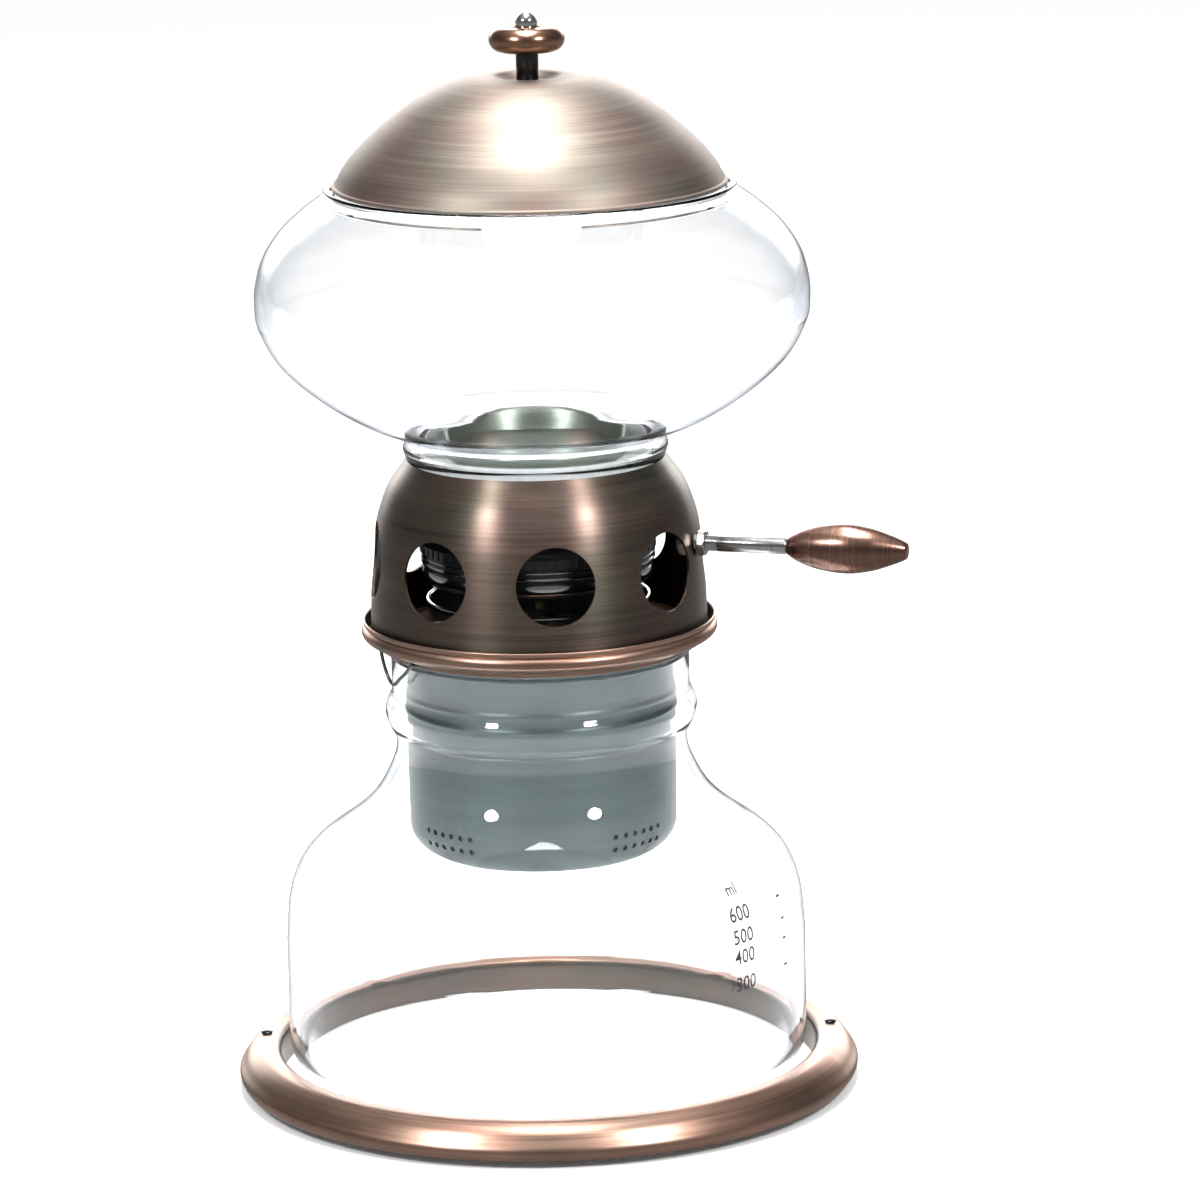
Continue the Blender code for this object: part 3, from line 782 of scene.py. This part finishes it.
def make_handle():
    """The rod with its two nuts, and the spindle-shaped grip."""
    nut_low, nut_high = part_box("handle_nut")
    width = (nut_high.z - nut_low.z) / MM
    hex_nut("handle_lock_nut", width, (nut_high.x - nut_low.x) / MM, 2.55, rod_steel, "helmet",
            "handle_nut", along_handle(nut_low.x / MM))
    inner_low, inner_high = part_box("handle_inner_nut")
    hex_nut("handle_back_nut", width, (inner_high.x - inner_low.x) / MM, 2.55, rod_steel, "helmet",
            "handle_inner_nut", along_handle(inner_low.x / MM))
    rod_low, rod_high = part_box("handle_rod")
    start, end, shoulder = rod_low.x / MM, rod_high.x / MM, 75.5
    rod = ([(0, end), (0.9, end), (1.2, end - 0.4), (1.2, shoulder), (2.1, shoulder),
            (2.4, shoulder - 0.4)] + thread(2.4, 2.15, 55.0, 0.7, 7)
           + [(2.4, 50.0), (2.4, start + 0.4), (2.0, start), (0, start)])
    turned("handle_stem", rod, rod_steel, "helmet", ["handle_rod"], FINE, along_handle(0))
    grip_low, grip_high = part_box("handle_grip")
    inner, outer = grip_low.x / MM, grip_high.x / MM
    belly = (grip_high.z - grip_low.z) / 2 / MM
    skin = curve([(2.45, outer - 0.35), (3.3, outer - 2.0), (5.0, outer - 6.4), (6.35, outer - 10.8),
                  (belly, outer - 17.6), (6.55, inner + 10.2), (4.9, inner + 4.4), (3.3, inner + 1.2),
                  (2.75, inner + 0.4)], 8)
    grip = ([(0, outer), (1.6, outer), (2.1, outer - 0.08)] + skin
            + [(2.5, inner + 0.06), (2.1, inner), (1.5, inner), (1.5, inner + 12.8), (0, inner + 13.1)])
    turned("handle_spindle", grip, grip_copper, "helmet", ["handle_grip"], 64,
           along_handle(0))


# ---------------------------------------------------------------- globe and valve

def make_globe():
    """The water globe, open at the top, with a necked-in foot and a hole for the valve."""
    top, wide, low = edge("bowl_glass", "high"), edge("bowl_glass", "r"), edge("bowl_glass", "low")
    body = curve([(59.6, top - 2.6), (61.4, top - 3.5), (67.2, top - 7.7), (73.6, top - 13.6),
                  (78.5, top - 21.0), (80.75, top - 29.0), (wide, top - 34.0), (80.3, top - 40.0),
                  (74.6, top - 50.6), (63.6, top - 60.6), (52.2, top - 67.8), (43.6, top - 71.6),
                  (39.3, top - 73.8), (38.55, top - 75.6), (38.9, top - 77.4), (38.4, top - 79.4)], 7)
    neck = curve([(37.4, top - 80.5), (36.65, top - 81.6), (36.6, top - 83.6)], 4)
    foot = arc(34.4, low + 2.2, 2.2, 0, -90, 7)
    skin = body + neck + foot + [(20.0, low), (9.6, low)]
    wall = sheet(skin, GLASS)[len(skin):]
    lip = (arc(59.55, top - 0.62, 0.6, 120, -50, 8)
           + curve([(59.5, top - 1.4), (58.9, top - 2.1)], 3))
    throat = curve([(58.0, top - 4.9), (56.9, top - 3.9), (56.6, top - 2.9), (57.2, top - 1.6),
                    (58.6, top - 0.4)], 4)
    inner = [point for point in wall[:-1] if point[1] < top - 5.2]
    globe = turned("water_globe", lip + skin + inner + throat, blown_glass, "globe",
                   ["bowl_glass"], segments=160)
    globe.visible_shadow = False


def make_valve():
    """The valve cup with its two silicone seals and its clamping nut."""
    rim, top, low = (edge("valve_cup", s) for s in ("r", "high", "low"))
    floor = edge("cup_gasket", "high") + 0.3
    outline = (arc(rim - 0.75, top - 0.75, 0.75, 150, -60, 12)
               + [(rim - 1.1, top - 1.9), (25.2, floor + 1.4), (24.6, floor + 0.3), (23.6, floor)]
               + rounded([(8.2, floor), (8.2, low + 0.4), (7.8, low), (1.6, low), (1.6, floor + 0.9),
                          (4.0, floor + 0.9)], 0.25)
               + curve([(22.6, floor + 0.9), (23.9, floor + 1.2), (24.4, floor + 2.2)], 4)
               + [(rim - 1.9, top - 1.6)])
    turned("valve_basin", outline, cup_steel, "globe", ["valve_cup"])
    wide, high, under = (edge("cup_gasket", s) for s in ("r", "high", "low"))
    liner = rounded([(8.8, high), (wide, high), (32.4, high + 0.6), (33.2, high + 3.6), (33.8, high + 3.8),
                     (33.7, under + 1.6), (wide + 0.6, under), (8.8, under)], 0.4)
    turned("cup_seal", liner, silicone, "globe", ["cup_gasket"], 96)
    wide, high, under = (edge("lower_gasket", s) for s in ("r", "high", "low"))
    ring = rounded([(8.8, high), (wide, high), (wide, under), (8.8, under)], 0.4)
    turned("nut_seal", ring, silicone, "globe", ["lower_gasket"], 96)
    nut_low, nut_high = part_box("valve_nut")
    hex_nut("valve_lock_nut", (nut_high.x - nut_low.x) / MM, (nut_high.z - nut_low.z) / MM, 8.6,
            satin_steel, "globe", "valve_nut", Matrix.Translation((0, 0, nut_low.z)))


def make_dial():
    """The wide black dial with chrome bands round its knurled rim, and its nozzle."""
    top, low, wide = (edge("drip_dial", s) for s in ("high", "low", "r"))
    outline = rounded([(8.6, top), (12.0, top), (12.0, low + 15.8), (33.2, low + 13.4),
                       (wide - 0.1, low + 12.0), (wide - 0.1, low + 9.0), (wide - 0.6, low + 8.6),
                       (wide - 0.6, low + 5.4), (wide - 1.2, low + 5.0), (wide - 1.2, low + 0.6),
                       (wide - 2.0, low), (3.3, low), (3.3, low + 2.6), (1.6, low + 2.6),
                       (1.6, low + 9.6), (8.6, low + 9.6)], 0.4)
    mesh = turned_mesh(outline, 144)
    notches = 72
    bars = [bar(0.8, 2.6, upright(360 / notches * i, wide + 0.25, low + 10.6), 8) for i in range(notches)]
    mesh = bored(mesh, bars)
    add("drip_dial_cap", mesh, dial_plastic, "dial", ["drip_dial"], sharp=30)
    for i, (level, half, step) in enumerate(((8.0, 0.5, 0.4), (6.2, 0.8, 0.4), (2.8, 1.9, 0.9))):
        foot, height = wide - step - BAND_DEPTH, low + level
        crest = [(foot + BAND_DEPTH * math.cos(math.radians(a)), height + half * math.sin(math.radians(a)))
                 for a in range(84, -85, -12)]
        band = [(foot, height + half)] + crest + [(foot, height - half)]
        turned(f"dial_band_{i + 1}", band, chrome, "dial", segments=144)
    tip, root = edge("drip_nozzle", "low"), edge("drip_nozzle", "high")
    nozzle = rounded([(1.0, root), (3.0, root), (3.0, low - 1.4), (2.2, low - 2.0), (1.7, tip), (1.0, tip)],
                     0.2)
    turned("drip_tip", nozzle, brass, "dial", ["drip_nozzle"], FINE)


# ---------------------------------------------------------------- lid

def make_lid():
    """The domed lid with its stem, washer, nut, ring knob and finial."""
    wide, low = edge("lid_dome", "r"), edge("lid_dome", "low")
    ridge = edge("lid_dome", "high")
    dish = ridge - 1.8
    skin = ([(2.7, dish), (5.6, dish)]
            + curve([(6.6, dish + 0.05), (8.7, dish + 0.9), (10.2, ridge - 0.15), (11.8, ridge),
                     (18.6, ridge - 0.9), (26.0, ridge - 3.4), (33.6, ridge - 7.4),
                     (42.0, ridge - 13.6), (49.3, ridge - 20.2), (54.0, ridge - 25.8),
                     (56.7, ridge - 30.5)], 7)
            + arc(wide - 0.75, low + 0.95, 0.75, 40, -70, 8))
    outline = sheet(skin, COPPER_SHEET)
    turned("lid_shell", outline, lid_copper, "lid", ["lid_dome"], segments=160)
    stem_low, stem_top = edge("knob_stem", "low"), edge("knob_stem", "high")
    stem = ([(0, stem_top - 6.7), (1.5, stem_top - 6.3), (1.5, stem_top), (2.9, stem_top),
             (3.25, stem_top - 0.35), (3.25, dish + 0.7), (3.0, dish + 0.3), (2.4, dish + 0.3)]
            + thread(2.4, 2.1, stem_low + 4.6, 0.8, 5) + [(2.1, stem_low), (0, stem_low)])
    turned("knob_post", stem, dark_steel, "lid", ["knob_stem"], FINE)
    washer_top, washer_low = edge("lid_washer", "high"), edge("lid_washer", "low")
    washer = rounded([(2.7, washer_top), (6.0, washer_top), (6.0, washer_low), (2.7, washer_low)], 0.15)
    turned("stem_washer", washer, dark_steel, "lid", ["lid_washer"], FINE)
    nut_low, nut_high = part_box("lid_nut")
    hex_nut("stem_nut", (nut_high.x - nut_low.x) / MM, (nut_high.z - nut_low.z) / MM, 2.6, dark_steel,
            "lid", "lid_nut", Matrix.Translation((0, 0, nut_low.z)))
    knob_r, knob_top, knob_low = (edge("lid_knob", s) for s in ("r", "high", "low"))
    tube_r = (knob_top - knob_low) / 2
    knob = ([(1.5, knob_top - 0.8), (3.4, knob_top - 0.8)]
            + curve([(4.0, knob_top - 0.75), (5.0, knob_top - 0.35), (knob_r - tube_r, knob_top)], 5)
            + arc(knob_r - tube_r, knob_low + tube_r, tube_r, 82, -90, 20)
            + [(6.0, knob_low), (1.5, knob_low)])
    turned("knob_ring", knob, knob_copper, "lid", ["lid_knob"], 96)
    tip, foot = edge("knob_finial", "high"), edge("knob_finial", "low")
    head = edge("knob_finial", "r")
    seat = knob_top - 0.5
    finial = ([(0, tip)] + arc(0, tip - head, head, 84, 0, 12)
              + [(head, seat + 0.25), (head - 0.2, seat), (1.2, seat), (1.2, foot + 0.2), (0, foot)])
    turned("knob_acorn", finial, chrome, "lid", ["knob_finial"], FINE)


# ---------------------------------------------------------------- studio

def make_camera():
    """A long lens from the front, a little above the object and rolled by one degree."""
    data = bpy.data.cameras.new("camera")
    data.sensor_width = 36.0
    data.lens = 184.67
    data.clip_start = 0.05
    obj = bpy.data.objects.new("camera", data)
    bpy.context.scene.collection.objects.link(obj)
    turn = (Matrix.Rotation(math.radians(16.0), 4, "Z") @ Matrix.Rotation(math.radians(77.227), 4, "X")
            @ Matrix.Rotation(math.radians(-1.139), 4, "Z"))
    obj.matrix_world = Matrix.Translation((0.50465, -1.69475, 0.5465)) @ turn
    bpy.context.scene.camera = obj


def soft_light(name, angle, elevation, distance, width, height, power):
    """A round or oval soft box that faces the middle of the object."""
    data = bpy.data.lights.new(name, "AREA")
    data.shape = "ELLIPSE"
    data.size, data.size_y = width, height
    data.energy = power
    obj = bpy.data.objects.new(name, data)
    bpy.context.scene.collection.objects.link(obj)
    a, e = math.radians(angle), math.radians(elevation)
    target = Vector((0, 0, 0.16))
    away = Vector((math.cos(a) * math.cos(e), math.sin(a) * math.cos(e), math.sin(e)))
    obj.location = target + away * distance
    obj.rotation_mode = "QUATERNION"
    obj.rotation_quaternion = away.to_track_quat("Z", "Y")
    obj.visible_camera = False
    obj.visible_transmission = False


def make_studio():
    """Two small lights from the front, a large one overhead, and a pale floor."""
    soft_light("box_left", FRONT - 42, 38, 1.25, 0.2, 0.2, 8)
    soft_light("box_right", FRONT + 42, 38, 1.25, 0.2, 0.2, 8)
    soft_light("box_top", FRONT, 95, 1.1, 0.40, 1.1, 20)
    floor_mesh = bpy.data.meshes.new("floor")
    bm = bmesh.new()
    bmesh.ops.create_grid(bm, x_segments=4, y_segments=4, size=4.0)
    bm.to_mesh(floor_mesh)
    bm.free()
    floor = bpy.data.objects.new("floor", floor_mesh)
    bpy.context.scene.collection.objects.link(floor)
    paper, _, shader = nodes_of("floor_paper")
    shader.inputs["Base Color"].default_value = (0.93, 0.93, 0.93, 1.0)
    shader.inputs["Roughness"].default_value = 0.9
    floor_mesh.materials.append(paper)
    floor.visible_glossy = False
    make_world()


def make_world():
    """White for the view and soft light; for reflections, a dark room with a white patch behind."""
    world = bpy.data.worlds.new("studio")
    bpy.context.scene.world = world
    world.use_nodes = True
    tree = world.node_tree
    background = tree.nodes["Background"]
    place = node(tree, "ShaderNodeTexCoord")
    back = math.radians(FRONT + 180)
    towards = node(tree, "ShaderNodeVectorMath", operation="DOT_PRODUCT")
    towards.inputs[1].default_value = (math.cos(back), math.sin(back), 0.0)
    tree.links.new(place.outputs["Generated"], towards.inputs[0])
    height = node(tree, "ShaderNodeSeparateXYZ")
    tree.links.new(place.outputs["Generated"], height.inputs[0])
    behind = ramp(tree, towards.outputs["Value"], [(0.78, (0, 0, 0)), (0.92, (1, 1, 1))])
    level = remap(tree, height.outputs["Z"], start=(-1.0, 1.0))
    band = ramp(tree, level, [(0.46, (0, 0, 0)), (0.57, (1, 1, 1)), (0.68, (1, 1, 1)), (0.80, (0, 0, 0))])
    patch = multiply(tree, behind, band)
    dim = ramp(tree, level, [
        (0.0, (0.34, 0.34, 0.34)), (0.21, (0.38, 0.38, 0.38)), (0.37, (0.34, 0.345, 0.35)),
        (0.50, (0.17, 0.173, 0.176)), (0.63, (0.10, 0.103, 0.105)), (0.82, (0.14, 0.142, 0.144)),
        (0.95, (0.40, 0.40, 0.40)), (1.0, (0.50, 0.50, 0.50))])
    room = node(tree, "ShaderNodeMix", data_type="RGBA")
    room.inputs["B"].default_value = (4.5, 4.5, 4.5, 1.0)
    tree.links.new(dim, room.inputs["A"])
    tree.links.new(patch.outputs["Result"], room.inputs["Factor"])
    path = node(tree, "ShaderNodeLightPath")
    seen = node(tree, "ShaderNodeMix", data_type="RGBA")
    seen.inputs["A"].default_value = (1.0, 1.0, 1.0, 1.0)
    tree.links.new(path.outputs["Is Glossy Ray"], seen.inputs["Factor"])
    tree.links.new(room.outputs["Result"], seen.inputs["B"])
    tree.links.new(seen.outputs["Result"], background.inputs["Color"])
    background.inputs["Strength"].default_value = 1.0
    bpy.context.scene.view_settings.view_transform = "Standard"


make_camera()
make_base()
make_server()
make_strainer()
make_spreader()
make_helmet()
make_clip()
make_handle()
make_globe()
make_valve()
make_dial()
make_lid()
make_studio()
